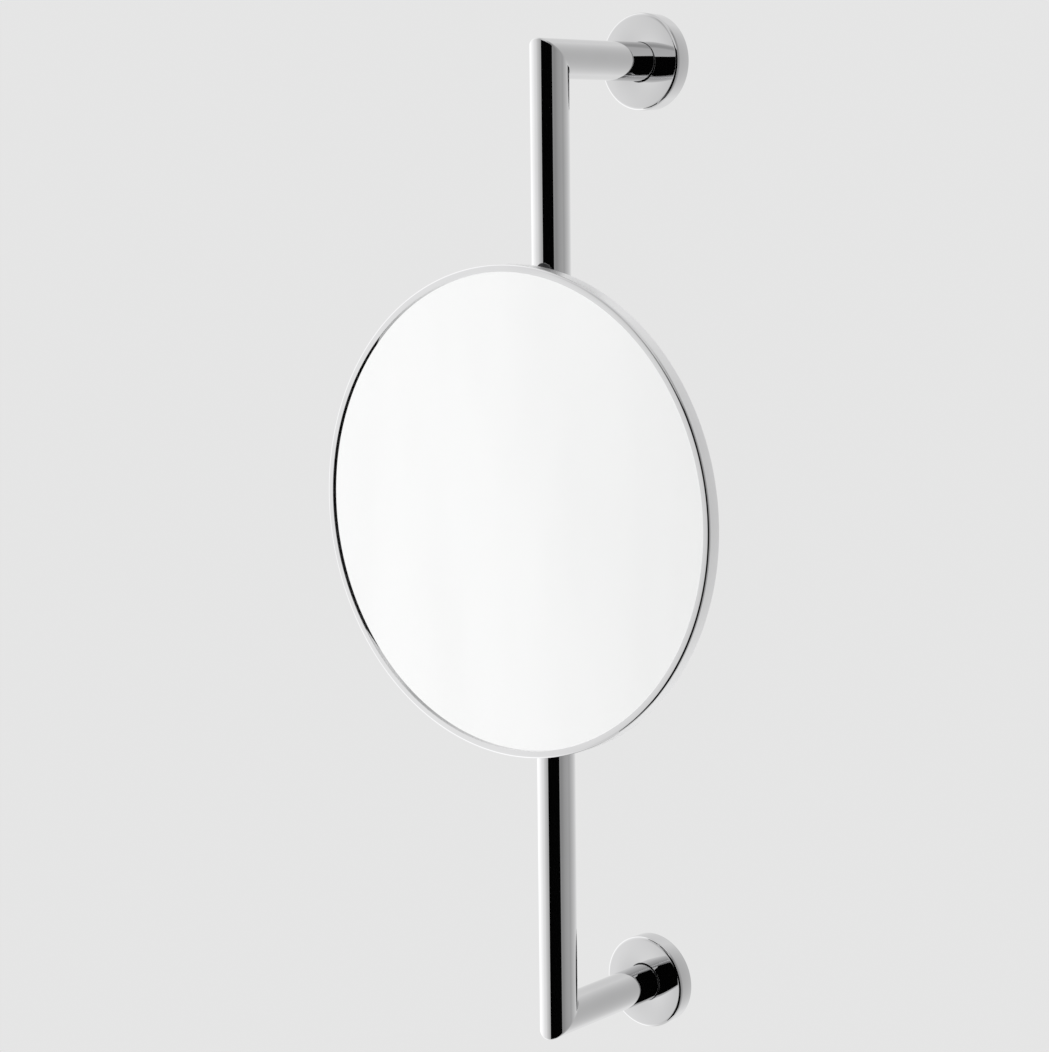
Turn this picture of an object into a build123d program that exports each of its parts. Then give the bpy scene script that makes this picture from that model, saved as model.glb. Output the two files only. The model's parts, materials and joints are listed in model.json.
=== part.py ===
"""Extendable shaving mirror: a round mirror on a folding arm that slides on a wall rail."""

import math
import os

from build123d import *

# Frame, mm: the wall is the plane y = 0 and the room is at -Y, +Z is up.
# x = 0 is the rail's axis and z = 0 is halfway up the rail.

# ---- driving dimensions ----
rail_r = 10.0  # rail and wall arms: 20 mm tube
rail_wall = 1.5
rail_off = 83.0  # wall to the rail's axis
arm_height = 246.0  # wall arms above and below the middle
rosette_r = 25.0
rosette_depth = 9.5
rosette_face = 2.0
rosette_wall = 1.8
rosette_edge_r = 1.45
rosette_hole_r = 0.4  # rounding where the arm goes in
plate_thick = 5.0
screw_spacing = 24.0  # two wall screws in each plate
screw_hole_r = 2.5
grub_r = 2.0
run_fit = 0.05  # radial clearance of a turning or sliding fit
gap = 0.3  # space between pieces that pass each other

mirror_z = 22.5  # centre of the disc
mirror_gap = 18.2  # rail to the back of the disc
frame_r = 123.3
frame_depth = 8.3
frame_side = 1.4
rim_wide = 3.7  # flat bezel round the glass
rim_recess = 1.25  # glass behind the bezel
rim_edge_r = 1.0  # rounding of the outer edge
rim_in_r = 0.4  # rounding at the glass
frame_back_r = 0.6
glass_thick = 3.0
pad_thick = 1.5
pan_thick = 1.2

sleeve_wall = 2.2
sleeve_bottom = -64.0
sleeve_flange = 2.0
collar_r = 17.5
collar_top = -44.0
washer_thick = 1.0
hub_r = 17.0
hub_high = 24.0
ring_high = 4.0
ring_r = 15.0
lock_z = -53.0
lock_boss_r = 7.0
lock_boss_out = 23.0  # rail axis to the boss's end
lock_screw_r = 3.0
knob_r = 11.0
knob_long = 14.0
knob_flutes = 8

elbow_x = -95.0
elbow_back = 28.5  # elbow behind the rail's axis when folded
knuckle_r = 8.0
elbow_pin_r = 3.0
inner_tube_r = 5.0
outer_tube_r = 4.0
link_wall = 1.0
inner_z = -31.0  # axis heights of the two links
outer_z = -6.0

eye_r = 5.0  # upright pin's eye at the head of the arm
eye_gap = 2.0  # rail to the eye
eye_low = -12.0
eye_top = 2.0
head_pin_r = 2.2
head_pin_top = 13.0
tilt_ahead = 3.0  # level pin ahead of the upright pin
tilt_pin_r = 1.75
block_half = 3.5
lug_thick = 2.5
lug_back_r = 3.4
bracket_thick = 2.0
bracket_wide = 40.0
bracket_tall = 18.0
rivet_r = 1.5
rivet_head_r = 2.6
rivet_head = 1.4

# ---- derived ----
rail_bore_r = rail_r - rail_wall
cavity_r = rosette_r - rosette_wall
plate_r = cavity_r - 0.4
notch_r = plate_r - 2.8  # floor of the notch the grub screw presses on
seat_in = notch_r + 0.5
seat_out = cavity_r + 0.4
grub_y = -(grub_r + 1.0)
arm_end = -(plate_thick + 1.0)
sleeve_bore_r = rail_r + run_fit
sleeve_r = sleeve_bore_r + sleeve_wall
hub_low = collar_top + washer_thick
hub_top = hub_low + hub_high
ring_low = hub_top + washer_thick
sleeve_top = ring_low + ring_high
pad_out = sleeve_r - 0.6  # rail axis to the back of the lock pad
mirror_back = -(rail_off + rail_r + mirror_gap)
mirror_front = mirror_back - frame_depth
glass_front = mirror_front + rim_recess
sight_r = frame_r - rim_wide
elbow_y = elbow_back - rail_off
pivot_y = -(rail_off + rail_r + eye_gap + eye_r)
tilt_y = pivot_y - tilt_ahead
pad_front = glass_front + glass_thick
pan_front = pad_front + pad_thick
pan_back = pan_front + pan_thick
bracket_back = pan_back + bracket_thick
inner_r = frame_r - frame_side
lug_in = block_half + gap
lug_out = lug_in + lug_thick
knuckle_low = inner_z - 9.0
knuckle_top = outer_z - 12.0

rail_axis = Vector(0, -rail_off, 0)
elbow = Vector(elbow_x, elbow_y, 0)
head = Vector(0, pivot_y, 0)
inner_dir = (elbow - rail_axis).normalized()
inner_long = (elbow - rail_axis).length
outer_dir = (head - elbow).normalized()
outer_long = (head - elbow).length
up = Vector(0, 0, 1)


def at_height(point, z):
    return Vector(point.X, point.Y, z)


def along(start, way, dist, z):
    """A plane square to a link, `dist` from its start and at height z."""
    return Plane(origin=at_height(start + way * dist, z), x_dir=up, z_dir=way)


def rod(plane, radius, length, inner=0.0, mode=Mode.ADD):
    """A round bar or tube standing on a plane."""
    with BuildSketch(plane) as disc:
        Circle(radius)
        if inner:
            Circle(inner, mode=Mode.SUBTRACT)
    extrude(disc.sketch, amount=length, mode=mode)


def post(x, y, low, top, radius, inner=0.0, mode=Mode.ADD):
    """An upright bar or tube."""
    rod(Plane(origin=(x, y, low), z_dir=(0, 0, 1)), radius, top - low, inner, mode)


def facing_room(x, y, z):
    """A plane on which +Z of the sketch points from the wall into the room."""
    return Plane(origin=(x, y, z), x_dir=(1, 0, 0), z_dir=(0, -1, 0))


def save(part, name):
    part.label = name
    export_step(part, f"parts/{name}.step")


os.makedirs("parts", exist_ok=True)

# ---- wall rail ----
half = arm_height
with BuildPart() as rail_tube:
    post(0, -rail_off, -half - rail_r, half + rail_r, rail_r, rail_bore_r)
    for s in (1, -1):  # 45 degree mitres
        with BuildSketch(Plane.YZ) as mitre:
            with BuildLine():
                Polyline(
                    (-rail_off - 30, s * (half + 30)),
                    (-rail_off + 30, s * (half - 30)),
                    (-rail_off + 30, s * (half + 60)),
                    (-rail_off - 30, s * (half + 60)),
                    close=True,
                )
            make_face()
        extrude(amount=rail_r + 5, both=True, mode=Mode.SUBTRACT)
save(rail_tube.part, "rail_tube")

for s, side in ((1, "upper"), (-1, "lower")):
    with BuildPart() as wall_arm:
        rod(facing_room(0, arm_end, s * half), rail_r, rail_off + rail_r + arm_end, rail_bore_r)
        with BuildSketch(Plane.YZ):
            with BuildLine():
                Polyline(
                    (-rail_off - 30, s * (half + 30)),
                    (-rail_off + 30, s * (half - 30)),
                    (-rail_off - 60, s * (half - 30)),
                    (-rail_off - 60, s * (half + 30)),
                    close=True,
                )
            make_face()
        extrude(amount=rail_r + 5, both=True, mode=Mode.SUBTRACT)
    save(wall_arm.part, f"{side}_arm")

    with BuildPart() as rosette:
        with BuildSketch(Plane.XY):
            with BuildLine():
                front = -rosette_depth
                bore = Line((rail_r, front + rosette_face), (rail_r, front + rosette_hole_r))
                lip = RadiusArc(bore @ 1, (rail_r + rosette_hole_r, front), -rosette_hole_r)
                face = Line(lip @ 1, (rosette_r - rosette_edge_r, front))
                rounded = RadiusArc(face @ 1, (rosette_r, front + rosette_edge_r), -rosette_edge_r)
                Polyline(
                    rounded @ 1,
                    (rosette_r, 0),
                    (cavity_r, 0),
                    (cavity_r, front + rosette_face),
                    bore @ 0,
                )
            make_face()
        revolve(axis=Axis.Y)
        with Locations((0, grub_y - 0.6, -(seat_in + seat_out) / 2)):
            Box(7.6, 6, seat_out - seat_in)  # thread for the grub screw
        post(0, grub_y, -rosette_r - 2, 0, grub_r, mode=Mode.SUBTRACT)
    save(rosette.part.moved(Location((0, 0, s * half))), f"{side}_rosette")

    with BuildPart() as wall_plate:
        rod(facing_room(0, 0, s * half), plate_r, plate_thick)
        with Locations((0, -plate_thick / 2, s * half - notch_r - 5)):
            Box(8.4, plate_thick, 10, mode=Mode.SUBTRACT)
        with BuildSketch(facing_room(0, 0, s * half)):
            with GridLocations(screw_spacing, 1, 2, 1):
                Circle(screw_hole_r)
        extrude(amount=plate_thick, mode=Mode.SUBTRACT)
    save(wall_plate.part, f"{side}_wall_plate")

    grub_low = s * half - rosette_r + 0.4
    with BuildPart() as grub:
        post(0, grub_y, grub_low, s * half - notch_r, grub_r)
        with BuildSketch(Plane(origin=(0, grub_y, grub_low), z_dir=(0, 0, 1))):
            RegularPolygon(1.15, 6)
        extrude(amount=1.8, mode=Mode.SUBTRACT)
    save(grub.part, f"{side}_grub_screw")

# ---- carriage on the rail ----
with BuildPart() as carriage_sleeve:
    post(0, -rail_off, sleeve_bottom, sleeve_top, sleeve_r, sleeve_bore_r)
    post(0, -rail_off, sleeve_bottom, sleeve_bottom + sleeve_flange, collar_r - 1.5, sleeve_bore_r)
    rod(Plane(origin=(0, -rail_off, lock_z), z_dir=(0, 1, 0)), lock_screw_r + 0.3, 20, mode=Mode.SUBTRACT)
save(carriage_sleeve.part, "carriage_sleeve")

back_way = Plane(origin=(0, -rail_off, lock_z), z_dir=(0, 1, 0))
with BuildPart() as lock_collar:
    post(0, -rail_off, sleeve_bottom + sleeve_flange, collar_top, collar_r)
    chamfer(lock_collar.edges().filter_by(GeomType.CIRCLE), 0.8)
    rod(back_way, lock_boss_r, lock_boss_out)
    post(0, -rail_off, sleeve_bottom, collar_top, sleeve_r, mode=Mode.SUBTRACT)
    rod(back_way, lock_screw_r + run_fit, lock_boss_out, mode=Mode.SUBTRACT)
save(lock_collar.part, "lock_collar")

with BuildPart() as lock_pad:
    rod(back_way, lock_screw_r + 0.3, pad_out)
    post(0, -rail_off, lock_z - 10, lock_z + 10, sleeve_bore_r, mode=Mode.SUBTRACT)
    with Locations((0, -rail_off - 15, lock_z)):
        Box(40, 30, 20, mode=Mode.SUBTRACT)
save(lock_pad.part, "lock_pad")

for name, low in (("lower_slip_washer", collar_top), ("upper_slip_washer", hub_top)):
    with BuildPart() as slip_washer:
        post(0, -rail_off, low, low + washer_thick, hub_r - 1, sleeve_r)
    save(slip_washer.part, name)

with BuildPart() as retaining_ring:
    post(0, -rail_off, ring_low, sleeve_top, ring_r)
    chamfer(retaining_ring.edges().filter_by(GeomType.CIRCLE).sort_by(Axis.Z)[-1], 1.0)
    post(0, -rail_off, ring_low, sleeve_top, sleeve_r, mode=Mode.SUBTRACT)
save(retaining_ring.part, "retaining_ring")

# ---- lock knob ----
knob_face = lock_boss_out + 0.5
with BuildPart() as lock_screw:
    rod(back_way.offset(pad_out), lock_screw_r, knob_face + 9 - pad_out)
save(lock_screw.part, "lock_screw")

with BuildPart() as lock_knob:
    rod(back_way.offset(knob_face), lock_boss_r, 3)
    rod(back_way.offset(knob_face + 3), knob_r, knob_long - 3)
    with BuildSketch(back_way.offset(knob_face + 3)):
        with PolarLocations(knob_r + 2.2, knob_flutes):
            Circle(4.0)
    extrude(amount=knob_long, mode=Mode.SUBTRACT)
    end = lock_knob.faces().sort_by(Axis.Y)[-1]
    chamfer(end.edges(), 0.9)
    rod(back_way.offset(knob_face), lock_screw_r, 9, mode=Mode.SUBTRACT)
save(lock_knob.part, "lock_knob")

# ---- inner link ----
inner_from = hub_r - 1.0
inner_to = inner_long - knuckle_r + 1.0
with BuildPart() as inner_hub:
    post(0, -rail_off, hub_low, hub_top, hub_r)
    chamfer(inner_hub.edges().filter_by(GeomType.CIRCLE), 0.8)
    rod(along(rail_axis, inner_dir, 0, inner_z), inner_tube_r + 2.5, hub_r + 11)
    rod(along(rail_axis, inner_dir, inner_from, inner_z), inner_tube_r, 40, mode=Mode.SUBTRACT)
    post(0, -rail_off, hub_low, hub_top, sleeve_r + run_fit, mode=Mode.SUBTRACT)
save(inner_hub.part, "inner_hub")

with BuildPart() as inner_tube:
    rod(
        along(rail_axis, inner_dir, inner_from, inner_z),
        inner_tube_r,
        inner_to - inner_from,
        inner_tube_r - link_wall,
    )
save(inner_tube.part, "inner_tube")

with BuildPart() as inner_knuckle:
    post(elbow_x, elbow_y, knuckle_low, knuckle_top, knuckle_r)
    chamfer(inner_knuckle.edges().filter_by(GeomType.CIRCLE), 0.6)
    rod(along(rail_axis, inner_dir, inner_long - knuckle_r - 9, inner_z), inner_tube_r + 2, knuckle_r + 9)
    rod(along(rail_axis, inner_dir, 0, inner_z), inner_tube_r, inner_to, mode=Mode.SUBTRACT)
    post(elbow_x, elbow_y, knuckle_low, knuckle_top, elbow_pin_r + run_fit, mode=Mode.SUBTRACT)
save(inner_knuckle.part, "inner_knuckle")

# ---- outer link ----
outer_low = knuckle_top + washer_thick
outer_top = outer_z + 9.0
outer_from = knuckle_r - 1.0
pin_top = outer_z - outer_tube_r - 1.5
with BuildPart() as elbow_washer:
    post(elbow_x, elbow_y, knuckle_top, outer_low, knuckle_r - 0.8, elbow_pin_r)
save(elbow_washer.part, "elbow_washer")

with BuildPart() as outer_knuckle:
    post(elbow_x, elbow_y, outer_low, outer_top, knuckle_r)
    chamfer(outer_knuckle.edges().filter_by(GeomType.CIRCLE), 0.6)
    rod(along(elbow, outer_dir, 0, outer_z), outer_tube_r + 2, knuckle_r + 8)
    rod(along(elbow, outer_dir, outer_from, outer_z), outer_tube_r, 20, mode=Mode.SUBTRACT)
    post(elbow_x, elbow_y, outer_low, outer_top - 3, elbow_pin_r, mode=Mode.SUBTRACT)
save(outer_knuckle.part, "outer_knuckle")

with BuildPart() as elbow_pin:
    post(elbow_x, elbow_y, knuckle_low - gap, outer_top - 3, elbow_pin_r)
    post(elbow_x, elbow_y, knuckle_low - gap - 3, knuckle_low - gap, knuckle_r - 2)
    chamfer(elbow_pin.edges().filter_by(GeomType.CIRCLE).sort_by(Axis.Z)[0], 0.8)
    with BuildSketch(Plane(origin=(elbow_x, elbow_y, knuckle_low - gap - 3), z_dir=(0, 0, 1))):
        RegularPolygon(2.3, 6)
    extrude(amount=2.2, mode=Mode.SUBTRACT)
save(elbow_pin.part, "elbow_pin")

with BuildPart() as outer_tube:
    rod(
        along(elbow, outer_dir, outer_from, outer_z),
        outer_tube_r,
        outer_long - outer_from,
        outer_tube_r - link_wall,
    )
    post(0, pivot_y, eye_low, eye_top, eye_r, mode=Mode.SUBTRACT)
save(outer_tube.part, "outer_tube")

with BuildPart() as head_eye:
    post(0, pivot_y, eye_low, eye_top, eye_r)
    chamfer(head_eye.edges().filter_by(GeomType.CIRCLE), 0.5)
    rod(along(head, -outer_dir, 0, outer_z), outer_tube_r - link_wall, 15)
    post(0, pivot_y, eye_low + 2, eye_top, head_pin_r, mode=Mode.SUBTRACT)
save(head_eye.part, "head_eye")

with BuildPart() as head_pin:
    post(0, pivot_y, eye_low + 2, head_pin_top, head_pin_r)
save(head_pin.part, "head_pin")

with BuildPart() as head_washer:
    post(0, pivot_y, eye_top, eye_top + washer_thick, eye_r - 0.5, head_pin_r)
save(head_washer.part, "head_washer")

# ---- swivel head ----
block_low = eye_top + washer_thick
nose_r = 3.2
with BuildPart() as swivel_block:
    post(0, pivot_y, block_low, mirror_z - lug_back_r - 1, eye_r - 0.4)
    with BuildSketch(Plane(origin=(-block_half, 0, 0), x_dir=(0, 1, 0), z_dir=(1, 0, 0))):
        with Locations((tilt_y, mirror_z)):
            Circle(nose_r)
        with Locations(((tilt_y - nose_r + pivot_y + 3) / 2, (head_pin_top + 2 + mirror_z) / 2)):
            Rectangle(pivot_y + 3 - tilt_y + nose_r, mirror_z - head_pin_top - 2)
        with Locations(((tilt_y + pivot_y + 3) / 2, mirror_z)):
            Rectangle(pivot_y + 3 - tilt_y, 2 * nose_r)
    extrude(amount=2 * block_half)
    post(0, pivot_y, block_low, head_pin_top + 0.5, head_pin_r + run_fit, mode=Mode.SUBTRACT)
    tilt_plane = Plane(origin=(-lug_out - 0.9, tilt_y, mirror_z), z_dir=(1, 0, 0))
    rod(tilt_plane, tilt_pin_r, 2 * (lug_out + 0.9), mode=Mode.SUBTRACT)
save(swivel_block.part, "swivel_block")

with BuildPart() as tilt_pin:
    rod(tilt_plane, tilt_pin_r, 2 * (lug_out + 0.9))
    chamfer(tilt_pin.edges().filter_by(GeomType.CIRCLE), 0.3)
save(tilt_pin.part, "tilt_pin")

# ---- mirror disc ----
with BuildPart() as frame_ring:
    with BuildSketch(Plane.XY) as section:
        with BuildLine():
            wall = Line((sight_r, glass_front), (sight_r, mirror_front + rim_in_r))
            lip = RadiusArc(wall @ 1, (sight_r + rim_in_r, mirror_front), -rim_in_r)
            crown = Line(lip @ 1, (frame_r - rim_edge_r, mirror_front))
            rounded = RadiusArc(crown @ 1, (frame_r, mirror_front + rim_edge_r), -rim_edge_r)
            side = Line(rounded @ 1, (frame_r, mirror_back - frame_back_r))
            heel = RadiusArc(side @ 1, (frame_r - frame_back_r, mirror_back), -frame_back_r)
            Polyline(
                heel @ 1,
                (inner_r - 3.5, mirror_back),
                (inner_r - 3.5, pan_back),
                (inner_r, pan_back),
                (inner_r, glass_front),
                wall @ 0,
            )
        make_face()
    revolve(axis=Axis.Y)
save(frame_ring.part.moved(Location((0, 0, mirror_z))), "frame_ring")

for name, near, far, radius in (
    ("mirror_glass", glass_front, pad_front, inner_r),
    ("foam_pad", pad_front, pan_front, inner_r - 3),
):
    with BuildPart() as layer:
        rod(facing_room(0, far, mirror_z), radius, far - near)
    save(layer.part, name)

rivet_x = bracket_wide / 2 - 5
rivet_z = bracket_tall / 2 - 4
rivet_spots = [(x, z) for x in (-rivet_x, rivet_x) for z in (-rivet_z, rivet_z)]
with BuildPart() as back_pan:
    rod(facing_room(0, pan_back, mirror_z), inner_r, pan_thick)
    with BuildSketch(facing_room(0, pan_back, mirror_z)):
        with Locations(*rivet_spots):
            Circle(rivet_r)
    extrude(amount=pan_thick, mode=Mode.SUBTRACT)
save(back_pan.part, "back_pan")

with BuildPart() as pivot_bracket:
    with BuildSketch(facing_room(0, bracket_back, mirror_z)):
        RectangleRounded(bracket_wide, bracket_tall, 4)
    extrude(amount=bracket_thick)
    for x in (-lug_out, lug_in):
        with BuildSketch(Plane(origin=(x, 0, 0), x_dir=(0, 1, 0), z_dir=(1, 0, 0))):
            with Locations((tilt_y, mirror_z)):
                Circle(lug_back_r)
            with Locations(((tilt_y + bracket_back) / 2, mirror_z)):
                Rectangle(tilt_y - bracket_back, 2 * lug_back_r)
        extrude(amount=lug_thick)
    rod(tilt_plane, tilt_pin_r + run_fit, 2 * (lug_out + 0.9), mode=Mode.SUBTRACT)
    with BuildSketch(facing_room(0, bracket_back, mirror_z)):
        with Locations(*rivet_spots):
            Circle(rivet_r)
    extrude(amount=bracket_thick, mode=Mode.SUBTRACT)
save(pivot_bracket.part, "pivot_bracket")

for i, (x, z) in enumerate(rivet_spots):
    spot = facing_room(x, bracket_back, mirror_z + z)
    with BuildPart() as rivet:
        rod(spot, rivet_r, bracket_thick + pan_thick)
        rod(spot.offset(-rivet_head), rivet_head_r, rivet_head)
        fillet(rivet.edges().filter_by(GeomType.CIRCLE).sort_by(Axis.Y)[-1], 0.9)
    save(rivet.part, f"bracket_rivet_{i + 1}")
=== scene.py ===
import json
import math

import bpy
import numpy as np
from mathutils import Matrix, Vector


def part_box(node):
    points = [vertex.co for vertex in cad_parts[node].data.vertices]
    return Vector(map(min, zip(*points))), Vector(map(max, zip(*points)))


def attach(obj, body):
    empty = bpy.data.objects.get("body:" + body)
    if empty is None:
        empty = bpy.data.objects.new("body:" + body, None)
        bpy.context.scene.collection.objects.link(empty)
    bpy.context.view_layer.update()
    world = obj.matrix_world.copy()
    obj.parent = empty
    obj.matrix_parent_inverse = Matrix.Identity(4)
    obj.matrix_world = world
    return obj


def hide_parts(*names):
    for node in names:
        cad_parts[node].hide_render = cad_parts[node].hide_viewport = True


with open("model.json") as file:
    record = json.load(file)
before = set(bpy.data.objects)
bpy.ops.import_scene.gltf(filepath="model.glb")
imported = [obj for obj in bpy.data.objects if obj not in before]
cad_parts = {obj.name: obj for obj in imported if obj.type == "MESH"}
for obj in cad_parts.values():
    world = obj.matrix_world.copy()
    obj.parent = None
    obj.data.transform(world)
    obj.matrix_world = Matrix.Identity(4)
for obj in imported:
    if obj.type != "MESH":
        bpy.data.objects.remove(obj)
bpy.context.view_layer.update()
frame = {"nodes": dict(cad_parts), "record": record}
nodes = frame["nodes"]
mm = 0.001
print("frame loaded:", len(nodes), "nodes")


def boxOf(node):
    # lowest corner, highest corner and middle of a CAD node at rest
    low, high = (np.array(corner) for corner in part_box(node))
    return low, high, (low + high) / 2


def addObject(name, data):
    # a new object in the scene, at the origin
    item = bpy.data.objects.new(name, data)
    bpy.context.scene.collection.objects.link(item)
    return item


# every new piece is one or more grids of points, worked out as whole arrays

def roundedLine(points, steps=6):
    # each corner (a, b, radius) becomes an arc that touches both its sides: its middle lies on the line that
    # halves the corner, and its points blend the two touching directions by the sines of the angles to them
    out = []
    count = len(points)
    for i, (a, b, radius) in enumerate(points):
        here = np.array([a, b], float)
        before = np.array(points[i - 1][:2], float)
        after = np.array(points[(i + 1) % count][:2], float)
        if radius <= 0:
            out.append(here[None])
            continue
        u = (before - here) / np.linalg.norm(before - here)
        v = (after - here) / np.linalg.norm(after - here)
        half = math.acos(float(np.clip(u @ v, -1, 1))) / 2
        reach = radius / math.tan(half)
        middle = here + (u + v) / np.linalg.norm(u + v) * radius / math.sin(half)
        start = here + u * reach - middle
        end = here + v * reach - middle
        t = np.linspace(0, 1, steps + 1)[:, None]
        turn = math.acos(float(np.clip(start @ end / radius ** 2, -1, 1)))
        out.append(middle + (np.sin((1 - t) * turn) * start + np.sin(t * turn) * end) / math.sin(turn))
    return np.concatenate(out)


def turned(profile, centre, axis, segments):
    # a lathe: point = centre + axis * height + radius * (cos angle, sin angle) across the axis
    axis = np.array(axis, float) / np.linalg.norm(axis)
    side = np.cross(axis, [0, 0, 1.0]) if abs(axis[2]) < 0.9 else np.array([1.0, 0, 0])
    side = side / np.linalg.norm(side)
    other = np.cross(axis, side)
    angle = np.linspace(0, 2 * np.pi, segments, endpoint=False)
    ring = np.cos(angle)[:, None] * side + np.sin(angle)[:, None] * other
    radius, height = profile[:, 0], profile[:, 1]
    return np.array(centre) + height[:, None, None] * axis + radius[:, None, None] * ring[None]


def gridFaces(grid, capped, first):
    # quads over a grid of points, turned to face outwards by the sign of the volume that they enclose, summed
    # as triple products about the middle; columns wrap round, and so do rows unless the two ends are capped
    count = grid.shape[0] * grid.shape[1]
    index = np.arange(count).reshape(grid.shape[:2])
    rows = index[:-1] if capped else index
    nextRows = index[1:] if capped else np.roll(index, -1, 0)
    quads = np.stack([rows, nextRows, np.roll(nextRows, -1, 1), np.roll(rows, -1, 1)], -1).reshape(-1, 4)
    points = grid.reshape(-1, 3)
    middle = points.mean(0)
    a, b, c, d = (points[quads[:, k]] - middle for k in range(4))
    volume = np.einsum("ij,ij->", a, np.cross(b, c)) + np.einsum("ij,ij->", a, np.cross(c, d))
    faces = (quads + first).tolist()
    if capped:
        faces += [(index[0][::-1] + first).tolist(), (index[-1] + first).tolist()]
    return [face[::-1] for face in faces] if volume < 0 else faces


# short ways to add the nodes that are used again and again; a value is a number, a colour or a node's output

def grey(level):
    # a colour with the same level in all its channels
    return (level, level, level, 1)


def setOrLink(tree, socket, value):
    # links another node's output to the socket, or sets a plain value on it
    if isinstance(value, bpy.types.NodeSocket):
        tree.links.new(value, socket)
    else:
        socket.default_value = value


def mathNode(tree, operation, *values):
    # one sum or comparison of its values, in their order
    node = tree.nodes.new("ShaderNodeMath")
    node.operation = operation
    for socket, value in zip(node.inputs, values):
        setOrLink(tree, socket, value)
    return node.outputs[0]


def rangeNode(tree, value, low, high, kind="LINEAR"):
    # 0 at low and 1 at high, straight or as an S between them
    node = tree.nodes.new("ShaderNodeMapRange")
    node.interpolation_type = kind
    node.inputs["From Min"].default_value = low
    node.inputs["From Max"].default_value = high
    tree.links.new(value, node.inputs["Value"])
    return node.outputs["Result"]


def colorMix(tree, share, first, second, kind="MIX"):
    # from the first colour to the second as the share goes from 0 to 1, or the two multiplied
    node = tree.nodes.new("ShaderNodeMix")
    node.data_type = "RGBA"
    node.blend_type = kind
    setOrLink(tree, node.inputs["Factor"], share)
    setOrLink(tree, node.inputs["A"], first)
    setOrLink(tree, node.inputs["B"], second)
    return node.outputs["Result"]


def surfaceMix(tree, share, first, second):
    # the material's surface goes from the first shader to the second as the share goes from 0 to 1
    blend = tree.nodes.new("ShaderNodeMixShader")
    tree.links.new(share, blend.inputs["Fac"])
    tree.links.new(first, blend.inputs[1])
    tree.links.new(second, blend.inputs[2])
    tree.links.new(blend.outputs["Shader"], tree.nodes["Material Output"].inputs["Surface"])


def newMaterial(name):
    # a node material with its tree and its Principled shader
    material = bpy.data.materials.new(name)
    material.use_nodes = True
    return material, material.node_tree, material.node_tree.nodes["Principled BSDF"]


filmLook = {
    "cloudScale": 22.0,
    "cloudDetail": 5.0,
    "cloudRange": (0.42, 0.75),  # thinner film than this is clean, thicker is full
    "lineDetail": 2.0,
    "relief": 0.2 * mm,
}


def makePolishFilm():
    # soft cloudy film and fine polishing lines: film = roughness + cloud * Film, tint = 1 - cloud * Haze, and
    # the lines give a faint relief
    group = bpy.data.node_groups.new("polishFilm", "ShaderNodeTree")
    group.interface.new_socket("Vector", in_out="INPUT", socket_type="NodeSocketVector")
    for label, value in (
        ("Roughness", 0.02),
        ("Film", 0.03),
        ("Haze", 0.04),
        ("Line Scale", 900.0),
        ("Bump", 0.02),
    ):
        socket = group.interface.new_socket(label, in_out="INPUT", socket_type="NodeSocketFloat")
        socket.default_value = value
    for label, kind in (("Roughness", "Float"), ("Tint", "Float"), ("Normal", "Vector")):
        group.interface.new_socket(label, in_out="OUTPUT", socket_type="NodeSocket" + kind)
    n, link = group.nodes, group.links.new
    enter, leave = n.new("NodeGroupInput"), n.new("NodeGroupOutput")
    cloud = n.new("ShaderNodeTexNoise")
    cloud.inputs["Scale"].default_value = filmLook["cloudScale"]
    cloud.inputs["Detail"].default_value = filmLook["cloudDetail"]
    link(enter.outputs["Vector"], cloud.inputs["Vector"])
    lines = n.new("ShaderNodeTexNoise")
    lines.inputs["Detail"].default_value = filmLook["lineDetail"]
    link(enter.outputs["Vector"], lines.inputs["Vector"])
    link(enter.outputs["Line Scale"], lines.inputs["Scale"])
    soft = rangeNode(group, cloud.outputs["Fac"], *filmLook["cloudRange"])
    film = mathNode(group, "MULTIPLY_ADD", soft, enter.outputs["Film"], enter.outputs["Roughness"])
    link(film, leave.inputs["Roughness"])
    haze = mathNode(group, "MULTIPLY", soft, enter.outputs["Haze"])
    link(mathNode(group, "SUBTRACT", 1.0, haze), leave.inputs["Tint"])
    bump = n.new("ShaderNodeBump")
    bump.inputs["Distance"].default_value = filmLook["relief"]
    link(enter.outputs["Bump"], bump.inputs["Strength"])
    link(lines.outputs["Fac"], bump.inputs["Height"])
    link(bump.outputs["Normal"], leave.inputs["Normal"])
    return group


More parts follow.
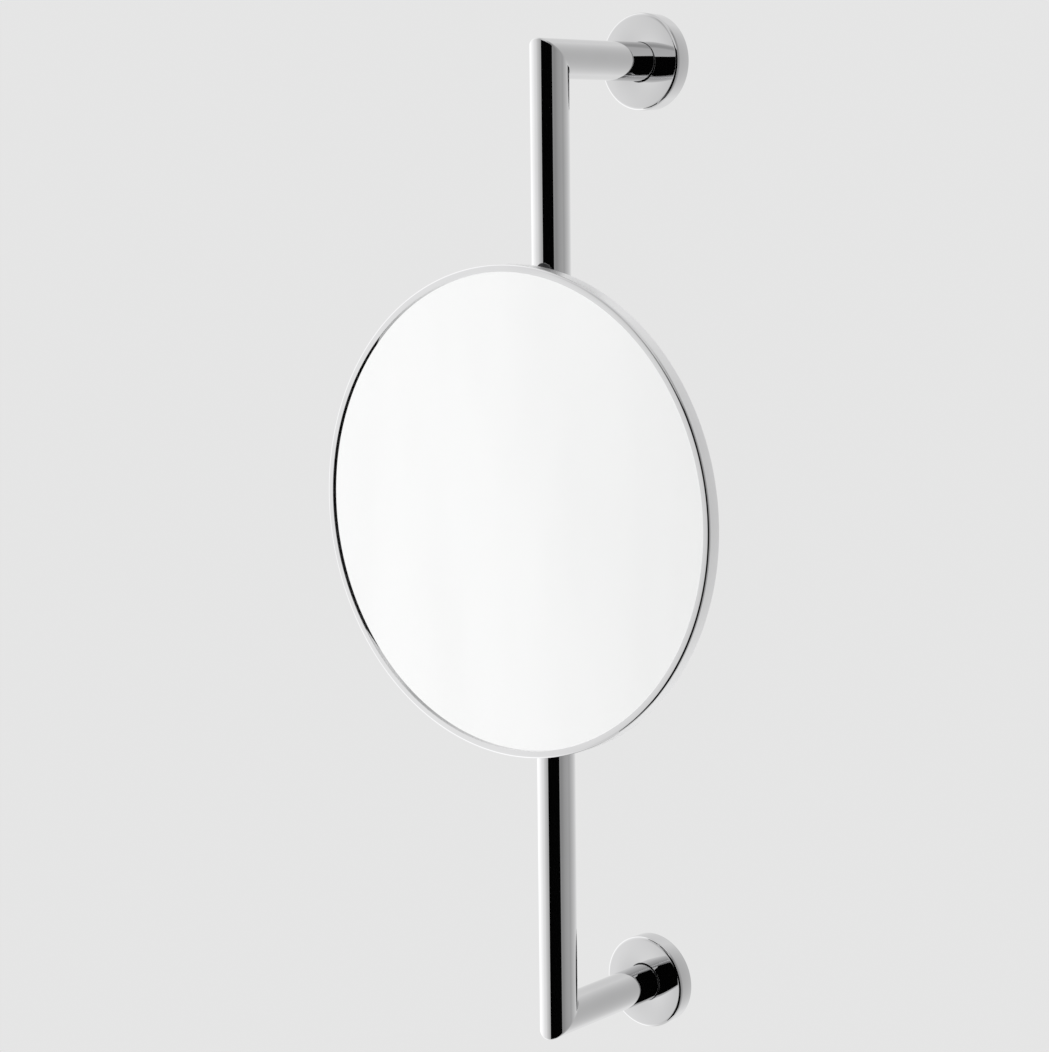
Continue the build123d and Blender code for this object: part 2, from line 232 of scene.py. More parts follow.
polishFilm = makePolishFilm()
plainLook = {"haze": 0.04, "lineScale": 900.0, "stretch": (1, 1, 1), "metallic": 1.0, "alpha": 1.0}
looks = {  # what differs from the plain look; stretch draws the film and lines out along an axis
    "railChrome": {"color": (0.665, 0.665, 0.67), "roughness": 0.0, "film": 0.01, "bump": 0.01},
    "armChrome": {"color": (0.66, 0.66, 0.665), "roughness": 0.03, "film": 0.03, "bump": 0.02},
    "frameChrome": {"color": (0.725, 0.725, 0.73), "roughness": 0.0, "film": 0.01, "bump": 0.01},
    "satinBand": {"color": (0.86, 0.86, 0.865), "roughness": 0.32, "film": 0.05, "bump": 0.02},
    "silveredGlass": {
        "color": (0.976, 0.979, 0.977), "roughness": 0.0, "film": 0.006, "bump": 0.0, "haze": 0.025,
        "lineScale": 200.0, "stretch": (1.2, 1, 0.3),
    },
    "clearFace": {
        "color": (0.95, 0.95, 0.95), "roughness": 0.35, "film": 0.02, "bump": 0.0,
        "lineScale": 200.0, "alpha": 0.02,
    },
    "plateSteel": {
        "color": (0.60, 0.61, 0.62), "roughness": 0.28, "film": 0.2, "bump": 0.5, "haze": 0.12,
        "lineScale": 1800.0, "stretch": (0.04, 1, 1),
    },
    "pinSteel": {
        "color": (0.58, 0.58, 0.59), "roughness": 0.22, "film": 0.15, "bump": 0.35, "haze": 0.1,
        "lineScale": 2500.0, "stretch": (1, 1, 0.2),
    },
    "nylon": {
        "color": (0.78, 0.78, 0.75), "roughness": 0.45, "film": 0.15, "bump": 0.3, "haze": 0.08,
        "lineScale": 1800.0, "metallic": 0.0,
    },
    "panPaint": {
        "color": (0.05, 0.05, 0.052), "roughness": 0.38, "film": 0.15, "bump": 0.9, "haze": 0.15,
        "metallic": 0.0,
    },
    "foamBlack": {
        "color": (0.05, 0.05, 0.05), "roughness": 0.9, "film": 0.05, "bump": 0.8,
        "lineScale": 1200.0, "metallic": 0.0,
    },
}
slotLook = {
    "rail_chrome": "railChrome",
    "arm_chrome": "armChrome",
    "frame_chrome": "frameChrome",
    "glass_silvered": "silveredGlass",
    "nylon": "nylon",
    "plate_steel": "plateSteel",
    "pin_steel": "pinSteel",
    "pan_paint": "panPaint",
    "foam": "foamBlack",
}


def finishMaterial(name, look):
    # a finish: the film varies its roughness, its tint and its fine relief over Object coordinates
    look = {**plainLook, **look}
    material, tree, shader = newMaterial(name)
    n, link = tree.nodes, tree.links.new
    place = n.new("ShaderNodeTexCoord")
    lay = n.new("ShaderNodeMapping")
    lay.inputs["Scale"].default_value = look["stretch"]
    link(place.outputs["Object"], lay.inputs["Vector"])
    film = n.new("ShaderNodeGroup")
    film.node_tree = polishFilm
    film.inputs["Roughness"].default_value = look["roughness"]
    film.inputs["Film"].default_value = look["film"]
    film.inputs["Haze"].default_value = look["haze"]
    film.inputs["Line Scale"].default_value = look["lineScale"]
    film.inputs["Bump"].default_value = look["bump"]
    link(lay.outputs["Vector"], film.inputs["Vector"])
    color = colorMix(tree, 1.0, (*look["color"], 1), film.outputs["Tint"], "MULTIPLY")
    link(color, shader.inputs["Base Color"])
    link(film.outputs["Roughness"], shader.inputs["Roughness"])
    link(film.outputs["Normal"], shader.inputs["Normal"])
    shader.inputs["Metallic"].default_value = look["metallic"]
    shader.inputs["Alpha"].default_value = look["alpha"]
    return material


materials = {name: finishMaterial(name, look) for name, look in looks.items()}
for part in frame["record"]["subparts"]:
    mesh = nodes[part["node"]].data
    material = materials[slotLook[part["material_slot"]]]
    if not mesh.materials:
        mesh.materials.append(material)
    for i in range(len(mesh.materials)):
        mesh.materials[i] = material
print("materials made:", len(materials))


def buildMesh(name, grids, body, slot, replaces=(), look=None, sharp=32, caps=False):
    # one piece from a grid, or from a list of (grid, capped), each of which becomes a closed shell
    if isinstance(grids, np.ndarray):
        grids = [(grids, caps)]
    faces, first = [], 0
    for grid, capped in grids:
        faces += gridFaces(grid, capped, first)
        first += grid.shape[0] * grid.shape[1]
    mesh = bpy.data.meshes.new(name)
    mesh.from_pydata(np.concatenate([grid.reshape(-1, 3) for grid, _ in grids]).tolist(), [], faces)
    mesh.update()
    mesh.shade_smooth()
    mesh.set_sharp_from_angle(angle=math.radians(sharp))
    mesh.materials.append(materials[look or slotLook[slot]])
    piece = addObject(name, mesh)
    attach(piece, body)
    if replaces:
        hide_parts(*replaces)
    return piece


# rail and wall arms: mitred tubes
tube = {
    "wall": 1.5 * mm,
    "bend": 0.9 * mm,  # rounding of the polished mitre
    "bendRows": 5,
    "segments": 192,
}
ends = {"upper": 1, "lower": -1}
_, railHigh, railMiddle = boxOf("rail_tube")
axisY = railMiddle[1]
armHeight = boxOf("upper_rosette")[2][2]
tubeRadius = railHigh[2] - armHeight
boreRadius = tubeRadius - tube["wall"]
tubeAngle = np.linspace(0, 2 * np.pi, tube["segments"], endpoint=False)


def mitreRows(radius, end, level):
    # half of a corner, for angle a round the tube: a line along it lies at offset o = radius * sin(a) outside
    # the bend, leaves its straight run there and turns on an arc up to the mitre, 45 degrees on; the rows are
    # the rail's, or a wall arm's where level is true
    x, o = radius * np.cos(tubeAngle), radius * np.sin(tubeAngle)
    t = np.linspace(0, np.pi / 4, tube["bendRows"])[:, None]
    along = o - tube["bend"] * (1 - np.sin(t))  # past the corner of the axis, along the run
    out = o - tube["bend"] * (1 - np.cos(t))
    y, z = (along, out) if level else (out, along)
    return np.stack([np.broadcast_to(x, y.shape), axisY - y, end * (armHeight + z)], -1)


def railGrid():
    # the outside skin at the upper mitre, the bore at both mitres, and the skin at the lower one
    upper, lower = (mitreRows(tubeRadius, end, False) for end in ends.values())
    upperBore, lowerBore = (mitreRows(boreRadius, end, False)[-1:] for end in ends.values())
    return np.concatenate([upper, upperBore, lowerBore, lower[::-1]])


def armGrid(side, end):
    # the skin and the bore at the mitre, then a circle for each where the arm stops inside its rosette
    stop = boxOf(side + "_arm")[1][1]
    rows = [mitreRows(tubeRadius, end, True), mitreRows(boreRadius, end, True)[-1:]]
    for radius in (boreRadius, tubeRadius):
        x, z = radius * np.cos(tubeAngle), end * (armHeight + radius * np.sin(tubeAngle))
        rows.append(np.stack([x, np.full_like(x, stop), z], -1)[None])
    return np.concatenate(rows)


buildMesh("rail", railGrid(), "stand", "rail_chrome", ["rail_tube"])
for side, end in ends.items():
    buildMesh(side + "Arm", armGrid(side, end), "stand", "rail_chrome", [side + "_arm"])
print("rail and arms built")

rosette = {
    "edge": 1.8 * mm,
    "backEdge": 0.3 * mm,
    "holeEdge": 0.3 * mm,
    "holeGap": 0.3 * mm,  # dark clearance round the arm
    "holePlay": 0.2 * mm,  # the hole sits off the arm by this much, towards the mirror
    "holeReach": 1.0 * mm,  # points within this of the arm move with the hole
    "face": 2.0 * mm,
    "wall": 1.8 * mm,
    "arcSteps": 8,
    "segments": 256,
}
hole = tubeRadius + rosette["holeGap"]
for side, end in ends.items():
    low, high, _ = boxOf(side + "_rosette")
    radius = (high[0] - low[0]) / 2
    cavity = radius - rosette["wall"]
    depth = high[1] - low[1]
    roof = depth - rosette["face"]
    profile = roundedLine([
        (hole, depth, rosette["holeEdge"]),
        (radius, depth, rosette["edge"]),
        (radius, 0, rosette["backEdge"]),
        (cavity, 0, 0),
        (cavity, roof, 0),
        (hole, roof, 0),
    ], rosette["arcSteps"])
    grid = turned(profile, (0, high[1], end * armHeight), (0, -1, 0), rosette["segments"])
    atHole = profile[:, 0] < tubeRadius + rosette["holeReach"]
    grid[atHole, :, 2] -= end * rosette["holePlay"]
    buildMesh(side + "Rosette", grid, "stand", "rail_chrome", [side + "_rosette"])
print("rosettes built")

# lock knob: fluted, with eased edges and a dished end
knob = {
    "flutes": 8,
    "fluteRadius": 4.0 * mm,
    "fluteOut": 2.2 * mm,  # a flute's middle lies outside the bar by this
    "crispness": 2600.0,  # of the ridges between bar and flutes, per metre
    "ease": 1.0 * mm,
    "easeRows": 6,
    "neck": 7.0 * mm,
    "neckLong": 3.0 * mm,
    "neckEase": 0.3 * mm,
    "neckInside": 0.45,  # share of the neck's radius where its foot is closed
    "dish": 0.5 * mm,
    "dishRadius": 5.2 * mm,
    "lip": [(0.5 * mm, 0), (0.15 * mm, 0.12 * mm)],  # outside the dish's radius, and below the end
    "bowl": [(1, 1), (0.6, 0.8), (0.25, 0.62), (0.04, 0.6)],  # shares of the dish's radius and depth
    "points": 240,
}
low, high, middle = boxOf("lock_knob")
knobRadius, knobLong = (high[0] - low[0]) / 2, high[1] - low[1]
a = np.linspace(0, 2 * np.pi, knob["points"], endpoint=False)
# outline radius at angle a: the round bar, cut back where a flute's circle reaches in; the smaller of the two
# is taken softly, as the logarithm of a sum of powers
pitch = 2 * np.pi / knob["flutes"]
swing = (a + pitch / 2) % pitch - pitch / 2
out = knobRadius + knob["fluteOut"]
inside = np.maximum(knob["fluteRadius"] ** 2 - (out * np.sin(swing)) ** 2, 0)
flute = np.where(inside > 0, out * np.cos(swing) - np.sqrt(inside), knobRadius * 2)
k = knob["crispness"]
outline = -np.log(np.exp(-k * flute) + np.exp(-k * knobRadius)) / k
outline *= knobRadius / outline.max()
# quarter circles ease both ends of the fluted part: inset = ease * (1 - sine), rise = ease * (1 - cosine)
t = np.linspace(0, np.pi / 2, knob["easeRows"])[:, None]
inset, rise = knob["ease"] * (1 - np.sin(t)), knob["ease"] * (1 - np.cos(t))
neck, ease = knob["neck"], knob["neckEase"]
foot = np.array([(neck * knob["neckInside"], 0), (neck - ease, 0), (neck, ease), (neck, knob["neckLong"])])
lip = np.array(knob["lip"]) + (knob["dishRadius"], 0)
bowl = np.concatenate([lip, np.array(knob["bowl"]) * (knob["dishRadius"], knob["dish"])])  # radius, depth
radii = np.concatenate([
    np.repeat(foot[:, :1], len(a), 1), outline - inset, outline - rise, np.repeat(bowl[:, :1], len(a), 1),
])
heights = np.concatenate([foot[:, 1:], knob["neckLong"] + rise, knobLong - inset, knobLong - bowl[:, 1:]])
heights = np.broadcast_to(heights, radii.shape)
grid = np.stack([radii * np.cos(a), heights, radii * np.sin(a)], -1) + (middle[0], low[1], middle[2])
buildMesh("lockKnob", grid, "lock", "arm_chrome", ["lock_knob"], sharp=30, caps=True)
print("knob built")

# turned posts of the arm: each is a lathe with eased edges, and a fine bead joins its tube's socket to it
fitting = {
    "ease": 0.9 * mm,
    "boreEase": 0.25 * mm,
    "blindEase": 0.2 * mm,
    "mouth": (0.6 * mm, 0.35 * mm),  # rounding of a socket's mouth, outside and inside
    "play": 0.05 * mm,  # between a socket and its tube
    "pole": 0.3 * mm,  # a lathe's end is closed by a face of this radius
    "crownShares": (0.5, 0.25),  # at this share of its radius a crowned end has fallen by this share
    "arcSteps": 5,
    "postSegments": 160,
    "socketSegments": 96,
    "beadSegments": (120, 16),  # round the socket, and round the bead
}


def post(centre, low, high, radius, bore):
    # an upright tube between the heights low and high, its four edges rounded
    ease, boreEase = fitting["ease"], fitting["boreEase"]
    corners = [(bore, low, boreEase), (radius, low, ease), (radius, high, ease), (bore, high, boreEase)]
    profile = roundedLine(corners, fitting["arcSteps"])
    return turned(profile, (*centre, 0), (0, 0, 1), fitting["postSegments"])


def cappedPost(centre, mouth, top, radius, look):
    # an upright post with a blind bore that opens at the height mouth; its closed end, at top, falls by the
    # crown from its middle to its edge
    up = math.copysign(1, top - mouth)
    roof = top - up * look["roof"]
    partWay, partFall = fitting["crownShares"]
    profile = roundedLine([
        (fitting["pole"], top, 0),
        (radius * partWay, top - up * look["crown"] * partFall, 0),
        (radius, top - up * look["crown"], look["ease"]),
        (radius, mouth, look["ease"]),
        (look["bore"], mouth, fitting["blindEase"]),
        (look["bore"], roof, 0),
        (fitting["pole"], roof, 0),
    ])
    return turned(profile, (*centre, 0), (0, 0, 1), fitting["postSegments"])


def socket(centre, way, look, bore):
    # a short tube along a level direction, from inside its post out to a rounded mouth
    start, end, radius = look["from"], look["reach"], look["radius"]
    outside, inside = fitting["mouth"]
    corners = [(bore, start, 0), (radius, start, 0), (radius, end, outside), (bore, end, inside)]
    return turned(roundedLine(corners, fitting["arcSteps"]), centre, way, fitting["socketSegments"])


def bead(centre, way, postRadius, rodRadius, size):
    # for angle a round the rod, the two skins meet at sqrt(post^2 - (rod * cos a)^2) along it;
    # a small circle is carried along that line
    way = np.array(way, float)
    up = np.array([0, 0, 1.0])
    side = np.cross(way, up)
    around, across = fitting["beadSegments"]
    a = np.linspace(0, 2 * np.pi, around, endpoint=False)[:, None]
    t = np.linspace(0, 2 * np.pi, across, endpoint=False)[None, :, None]
    outward = (np.cos(a) * side + np.sin(a) * up)[:, None]
    along = np.sqrt(postRadius ** 2 - (rodRadius * np.cos(a)) ** 2)[:, None]
    circle = size * (np.cos(t) * outward + np.sin(t) * way)
    return np.array(centre) + along * way + rodRadius * outward + circle


def socketAndBead(centre, way, postRadius, look, bore):
    # the two shells that join a tube to its post
    return [
        (socket(centre, way, look, bore), False),
        (bead(centre, way, postRadius, look["radius"], look["bead"]), False),
    ]


railAxis = np.array([0, axisY])
elbow = boxOf("elbow_washer")[2][:2]
head = boxOf("head_washer")[2][:2]
innerWay = np.append((elbow - railAxis) / np.linalg.norm(elbow - railAxis), 0)
outerWay = np.append((head - elbow) / np.linalg.norm(head - elbow), 0)
low, high, middle = boxOf("inner_tube")
innerRadius, innerHeight = (high[2] - low[2]) / 2, middle[2]
low, high, middle = boxOf("outer_tube")
outerRadius, outerHeight = (high[2] - low[2]) / 2, middle[2]
sleeveBore = 12.3 * mm

# each socket goes from one distance from its post's axis to another, its reach
hub = {
    "bore": sleeveBore, "from": 13.2 * mm, "reach": 28.0 * mm, "radius": 7.5 * mm, "bead": 0.7 * mm,
}
low, high, _ = boxOf("inner_hub")
centre = np.append(railAxis, innerHeight)
buildMesh("armHub", [
    (post(railAxis, low[2], high[2], high[0], hub["bore"]), False),
    *socketAndBead(centre, innerWay, high[0], hub, innerRadius + fitting["play"]),
], "inner_arm", "arm_chrome", ["inner_hub"])

collar = {
    "bore": sleeveBore, "from": 13.2 * mm, "reach": 23.0 * mm, "radius": 7.0 * mm, "bead": 0.7 * mm,
    "screwPlay": 0.1 * mm,
}
low, high, _ = boxOf("lock_collar")
screwLow, screwHigh, screwMiddle = boxOf("lock_screw")
screwBore = (screwHigh[0] - screwLow[0]) / 2 + collar["screwPlay"]
centre = np.append(railAxis, screwMiddle[2])
buildMesh("lockCollar", [
    (post(railAxis, low[2], high[2], high[0], collar["bore"]), False),
    *socketAndBead(centre, (0, 1, 0), high[0], collar, screwBore),
], "carriage", "arm_chrome", ["lock_collar"])

low, high, _ = boxOf("retaining_ring")
grid = post(railAxis, low[2], high[2], high[0], sleeveBore)
buildMesh("topRing", grid, "carriage", "arm_chrome", ["retaining_ring"])

lowerKnuckle = {
    "bore": 3.05 * mm, "from": 3.6 * mm, "reach": 17.0 * mm, "radius": 7.0 * mm, "bead": 0.56 * mm,
}
low, high, _ = boxOf("inner_knuckle")
knuckleRadius = elbow[0] - low[0]
centre = np.append(elbow, innerHeight)
buildMesh("lowerKnuckle", [
    (post(elbow, low[2], high[2], knuckleRadius, lowerKnuckle["bore"]), False),
    *socketAndBead(centre, -innerWay, knuckleRadius, lowerKnuckle, innerRadius + fitting["play"]),
], "inner_arm", "arm_chrome", ["inner_knuckle"])

upperKnuckle = {
    "bore": 3.05 * mm, "from": 3.6 * mm, "reach": 16.0 * mm, "radius": 6.0 * mm, "bead": 0.56 * mm,
    "roof": 3.0 * mm, "crown": 0.5 * mm, "ease": 0.9 * mm,
}
low, high, _ = boxOf("outer_knuckle")
centre = np.append(elbow, outerHeight)
buildMesh("upperKnuckle", [
    (cappedPost(elbow, low[2], high[2], knuckleRadius, upperKnuckle), True),
    *socketAndBead(centre, outerWay, knuckleRadius, upperKnuckle, outerRadius + fitting["play"]),
], "outer_arm", "arm_chrome", ["outer_knuckle"], sharp=40)

headEye = {"bore": 2.25 * mm, "boreDeep": 2.0 * mm, "bead": 0.42 * mm, "crown": 0.3 * mm, "ease": 0.6 * mm}
low, high, _ = boxOf("head_eye")
headEye["roof"] = high[2] - low[2] - headEye["boreDeep"]
eyeRadius = high[0] - head[0]
centre = np.append(head, outerHeight)
buildMesh("headEye", [
    (cappedPost(head, high[2], low[2], eyeRadius, headEye), True),
    (bead(centre, -outerWay, eyeRadius, outerRadius, headEye["bead"]), False),
], "outer_arm", "arm_chrome", ["head_eye"], sharp=40)
print("arm posts built")

# mirror disc: heights along its lathe's axis grow from the front of the ring or glass towards the room
ringLow, ringHigh, ringMiddle = boxOf("frame_ring")
glassLow, glassHigh, _ = boxOf("mirror_glass")
panLow, panHigh, _ = boxOf("back_pan")
discX, discZ = ringMiddle[0], ringMiddle[2]
discRadius = (ringHigh[0] - ringLow[0]) / 2
discSegments = 384
pole = 0.4 * mm  # the flat shells are closed in the middle by a face of this radius
front = ringLow[1]
recess = glassLow[1] - front
inner = (glassHigh[0] - glassLow[0]) / 2
frontAxis = (0, -1, 0)

ring = {
    "rimWide": 3.7 * mm,
    "edge": 1.2 * mm,
    "lean": 0.07 * mm,  # the front of the ring falls away outward by this
    "inEdge": 0.18 * mm,
    "backEdge": 0.6 * mm,
    "backLip": 3.5 * mm,
    "lipEdge": 0.2 * mm,
    "arcSteps": 14,
    "satinFrom": 0.3 * mm,  # the side wall is satin this near to the outer radius
    "satinLean": 0.2,  # and where it leans less than this to front or back
    "paintLean": 0.5,  # what leans more than this to the back is painted
}
sight = discRadius - ring["rimWide"]
lip = inner - ring["backLip"]
deep = ringHigh[1] - front
panBack = panHigh[1] - front
profile = roundedLine([
    (sight, 0, ring["inEdge"]),
    (discRadius, ring["lean"], ring["edge"]),
    (discRadius, deep, ring["backEdge"]),
    (lip, deep, ring["lipEdge"]),
    (lip, panBack, 0),
    (inner, panBack, 0),
    (inner, recess, 0),
    (sight, recess, 0),
], ring["arcSteps"])
profile[:, 1] *= -1
grid = turned(profile, (discX, front, discZ), frontAxis, discSegments)
frameRing = buildMesh("frameRing", grid, "mirror", "frame_chrome", ["frame_ring"], sharp=24).data


def faceValues(mesh, kind):
    # the centres or the normals of all faces, one row each
    values = np.empty(len(mesh.polygons) * 3)
    mesh.polygons.foreach_get(kind, values)
    return values.reshape(-1, 3)


# the ring's side wall is satin, without its rounded edges, and its back is painted with the pan
for name in ("satinBand", "panPaint"):
    frameRing.materials.append(materials[name])
towardsWall = faceValues(frameRing, "normal")[:, 1]
outward = np.linalg.norm(faceValues(frameRing, "center")[:, ::2] - (discX, discZ), axis=1)
satin = (outward > discRadius - ring["satinFrom"]) & (np.abs(towardsWall) < ring["satinLean"])
painted = towardsWall > ring["paintLean"]
frameRing.polygons.foreach_set("material_index", (satin + 2 * painted).astype(np.int32))

glass = {
    "edge": 0.3 * mm,
    "support": 0.6 * mm,  # a ring of points this far inside the edge keeps the silvered face truly flat
}
thick = glassHigh[1] - glassLow[1]
support = inner - glass["support"]
profile = roundedLine([
    (pole, 0, 0),
    (support, 0, 0),
    (inner, 0, glass["edge"]),
    (inner, -thick, glass["edge"]),
    (support, -thick, 0),
    (pole, -thick, 0),
])
glassCentre = (discX, front + recess, discZ)
grid = turned(profile, glassCentre, frontAxis, discSegments)
buildMesh("mirrorGlass", grid, "mirror", "glass_silvered", ["mirror_glass"], caps=True)

# painted pan behind the glass, with a pressed stiffening rib: a raised cosine, squared, across its width
pan = {
    "rib": 97.0 * mm,
    "ribWide": 5.0 * mm,  # to each side
    "ribHigh": 0.75 * mm,
    "ribRows": 25,
    "edge": 0.3 * mm,
    "edgeSteps": 4,
    "rim": 1.0 * mm,
}
r = np.linspace(pan["rib"] - pan["ribWide"], pan["rib"] + pan["ribWide"], pan["ribRows"])
rise = pan["ribHigh"] * np.cos((r - pan["rib"]) / pan["ribWide"] * np.pi / 2) ** 2
rim = roundedLine([
    (panHigh[0] - pan["rim"], panHigh[1], 0),
    (panHigh[0], panHigh[1], pan["edge"]),
    (panHigh[0], panLow[1], 0),
], pan["edgeSteps"])
rib = np.stack([r, panHigh[1] + rise], -1)
profile = np.concatenate([[(pole, panHigh[1])], rib, rim, [(pole, panLow[1])]])
grid = turned(profile, (discX, 0, discZ), (0, 1, 0), discSegments)
buildMesh("backPan", grid, "mirror", "pan_paint", ["back_pan"], caps=True)

# the clear face of the glass lies over the silver and gives its own faint reflection
face = {
    "clear": 0.03 * mm,  # space over the silver
    "thick": 0.2 * mm,
    "lap": 0.8 * mm,  # how far it goes under the ring
    "edge": 0.05 * mm,
    "support": 0.4 * mm,
}
under, over = face["clear"], face["clear"] + face["thick"]
edge = sight + face["lap"]
profile = roundedLine([
    (pole, under, 0),
    (edge, under, 0),
    (edge, over, face["edge"]),
    (edge - face["support"], over, 0),
    (pole, over, 0),
])
grid = turned(profile, glassCentre, frontAxis, discSegments)
buildMesh("glassFace", grid, "mirror", "glass_silvered", look="clearFace", caps=True)
print("mirror disc built")

camera = {
    "place": (0.837184, -1.11187, 0.196256),
    "yaw": 39.778,
    "pitch": -7.896,
    "roll": -0.659,
    "lens": 90.235,
    "sensor": 36.0,
    "farthest": 100.0,
}
yaw, pitch, roll = (math.radians(camera[k]) for k in ("yaw", "pitch", "roll"))
ahead = Vector((-math.sin(yaw) * math.cos(pitch), math.cos(yaw) * math.cos(pitch), math.sin(pitch)))
level = ahead.cross(Vector((0, 0, 1))).normalized()
above = level.cross(ahead)
right = math.cos(roll) * level + math.sin(roll) * above
upward = -math.sin(roll) * level + math.cos(roll) * above
lens = bpy.data.cameras.new("camera")
lens.lens = camera["lens"]
lens.sensor_width = camera["sensor"]
lens.clip_end = camera["farthest"]
eye = addObject("camera", lens)
turn = Matrix((right, upward, -ahead)).transposed()
eye.matrix_world = Matrix.Translation(camera["place"]) @ turn.to_4x4()
bpy.context.scene.camera = eye

# the room: soft panels whose light goes by the heading, and plain paper where the camera sees it directly
studio = {
    "paper": 0.787,  # colour of the backdrop and floor
    "facing": -50.5,  # heading of the dark end of the room, degrees
    "panels": [  # heading from there towards the right, light
        (-180, 0.85), (-162, 1.0), (-146, 1.5), (-130, 1.47), (-118, 1.34), (-106, 1.25), (-98, 1.14),
        (-90, 1.06), (-84, 1.025), (-80, 1.0), (-78, 0.96), (-76, 0.91), (-72, 0.82), (-66, 0.76),
        (-62, 0.70), (-56, 0.60), (-44, 0.60), (-34, 0.85), (0, 0.90), (12, 0.85), (22, 0.36),
        (33, 0.34), (50, 0.44), (71, 0.50), (81, 0.47), (95, 0.59), (124, 0.79), (147, 0.94), (180, 0.85),
    ],
    "fall": 0.09,  # how much lighter the room is below than above
    "poles": 0.85,  # light straight up and straight down
    "polesFrom": (0.80, 0.95),  # sine of the slope where the poles' light begins, and where it is full
}
world = bpy.data.worlds.new("studio")
bpy.context.scene.world = world
world.use_nodes = True
tree = world.node_tree
n, link = tree.nodes, tree.links.new
n.clear()
place = n.new("ShaderNodeTexCoord")
swing = n.new("ShaderNodeVectorRotate")
swing.rotation_type = "Z_AXIS"
swing.inputs["Angle"].default_value = math.radians(-studio["facing"])
link(place.outputs["Generated"], swing.inputs["Vector"])
split = n.new("ShaderNodeSeparateXYZ")
link(swing.outputs["Vector"], split.inputs["Vector"])
heading = mathNode(tree, "ARCTAN2", split.outputs["Y"], split.outputs["X"])
share = mathNode(tree, "MULTIPLY_ADD", heading, 1 / (2 * math.pi), 0.5)
ramp = n.new("ShaderNodeValToRGB")
elements = ramp.color_ramp.elements
while len(elements) > 1:
    elements.remove(elements[-1])
for i, (angle, light) in enumerate(studio["panels"]):
    where = angle / 360 + 0.5
    element = elements[0] if i == 0 else elements.new(where)
    element.position = where
    element.color = grey(light)
link(share, ramp.inputs["Fac"])
lean = n.new("ShaderNodeVectorMath")
lean.operation = "SCALE"
link(ramp.outputs["Color"], lean.inputs[0])
link(mathNode(tree, "MULTIPLY_ADD", split.outputs["Z"], -studio["fall"], 1.0), lean.inputs["Scale"])
steep = mathNode(tree, "ABSOLUTE", split.outputs["Z"])
poles = rangeNode(tree, steep, *studio["polesFrom"], "SMOOTHSTEP")
room = colorMix(tree, poles, lean.outputs["Vector"], grey(studio["poles"]))
path = n.new("ShaderNodeLightPath")
back = n.new("ShaderNodeBackground")
link(colorMix(tree, path.outputs["Is Camera Ray"], room, grey(studio["paper"])), back.inputs["Color"])
leave = n.new("ShaderNodeOutputWorld")
link(back.outputs["Background"], leave.inputs["Surface"])


def openMesh(name, points, faces):
    # an object from its points, in any grid, and its faces; nothing is closed or smoothed
    mesh = bpy.data.meshes.new(name)
    mesh.from_pydata(points.reshape(-1, 3).tolist(), [], faces)
    return addObject(name, mesh)


# a dark upright screen beside the camera, seen only in the polished metal: a grid on a cylinder round the
# rail, whose two sides spread as they go down
screen = {
    "distance": 0.75,
    "top": 0.52,
    "skirt": -1.25,  # the sides run straight down below this height
    "bottom": -2.8,
    "left": (-46.0, -51.5),  # headings at the top and at the skirt
    "right": (18.8, 44.5),
    "rightCurve": 3.4,  # how late the right side spreads
    "black": 0.002,
    "points": 40,
}
z = np.linspace(screen["top"], screen["bottom"], screen["points"])[:, None]
s = np.linspace(0, 1, screen["points"])[None]
t = np.clip((screen["top"] - z) / (screen["top"] - screen["skirt"]), 0, 1)
left = screen["left"][0] + (screen["left"][1] - screen["left"][0]) * t
right = screen["right"][0] + (screen["right"][1] - screen["right"][0]) * t ** screen["rightCurve"]
angle = np.radians(studio["facing"] + left + (right - left) * s)
x = screen["distance"] * np.cos(angle)
y = axisY + screen["distance"] * np.sin(angle)
index = np.arange(x.size).reshape(x.shape)
quads = np.stack([index[:-1, :-1], index[1:, :-1], index[1:, 1:], index[:-1, 1:]], -1).reshape(-1, 4)
card = openMesh("darkScreen", np.stack([x, y, np.broadcast_to(z, x.shape)], -1), quads.tolist())
card.visible_camera = False
card.visible_diffuse = False
card.visible_shadow = False
card.visible_transmission = False
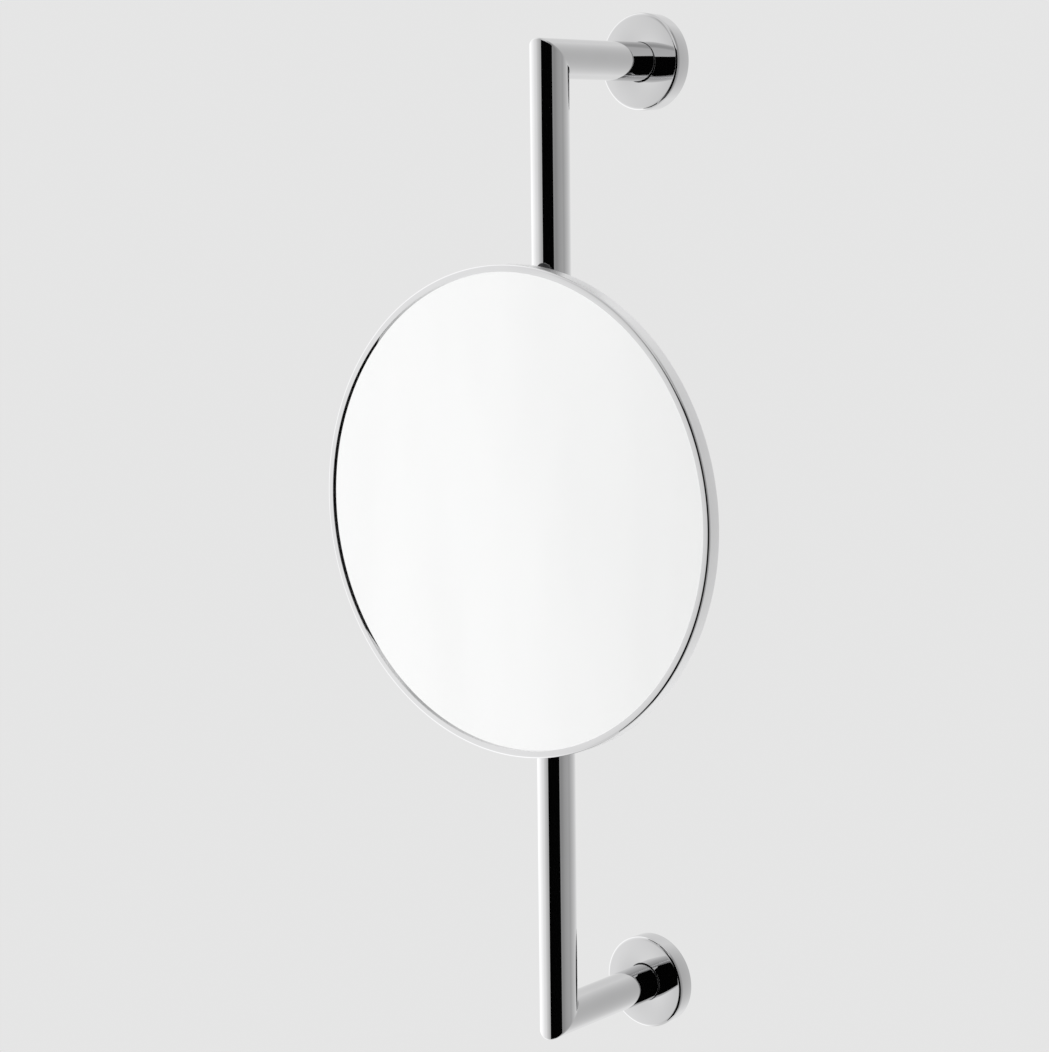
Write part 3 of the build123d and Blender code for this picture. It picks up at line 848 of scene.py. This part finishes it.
felt, tree, shader = newMaterial("darkFelt")
shader.inputs["Base Color"].default_value = grey(screen["black"])
shader.inputs["Specular IOR Level"].default_value = 0.0
# what the mirror's own face shows is the open room: a ray that came through the clear face and has bounced
# only once passes the screen
path = tree.nodes.new("ShaderNodeLightPath")
through = mathNode(tree, "GREATER_THAN", path.outputs["Transparent Depth"], 0.5)
once = mathNode(tree, "LESS_THAN", path.outputs["Ray Depth"], 1.5)
clear = tree.nodes.new("ShaderNodeBsdfTransparent")
fromMirror = mathNode(tree, "MULTIPLY", through, once)
surfaceMix(tree, fromMirror, shader.outputs["BSDF"], clear.outputs["BSDF"])
card.data.materials.append(felt)

floorSet = {
    "height": -0.95,
    "radius": 12.0,
    "near": 1.2,  # the floor goes over into the backdrop between these two distances
    "far": 2.2,
    "paper": 0.79,
    "roughness": 0.9,
    "points": 96,
}
a = np.linspace(0, 2 * np.pi, floorSet["points"], endpoint=False)
x, y = floorSet["radius"] * np.cos(a), floorSet["radius"] * np.sin(a)
points = np.stack([x, y, np.full_like(a, floorSet["height"])], -1)
floor = openMesh("floor", points, [list(range(len(a)))])
floor.visible_glossy = False
paper, tree, shader = newMaterial("floorPaper")
shader.inputs["Base Color"].default_value = grey(floorSet["paper"])
shader.inputs["Roughness"].default_value = floorSet["roughness"]
shader.inputs["Specular IOR Level"].default_value = 0.0
n, link = tree.nodes, tree.links.new
place = n.new("ShaderNodeTexCoord")
away = n.new("ShaderNodeVectorMath")
away.operation = "LENGTH"
link(place.outputs["Object"], away.inputs[0])
fade = rangeNode(tree, away.outputs["Value"], floorSet["near"], floorSet["far"], "SMOOTHSTEP")
path = n.new("ShaderNodeLightPath")
glow = n.new("ShaderNodeEmission")
glow.inputs["Color"].default_value = grey(studio["paper"])
seenFar = mathNode(tree, "MULTIPLY", fade, path.outputs["Is Camera Ray"])
surfaceMix(tree, seenFar, shader.outputs["BSDF"], glow.outputs["Emission"])
floor.data.materials.append(paper)
bpy.context.scene.view_settings.view_transform = "Standard"
print("studio set")
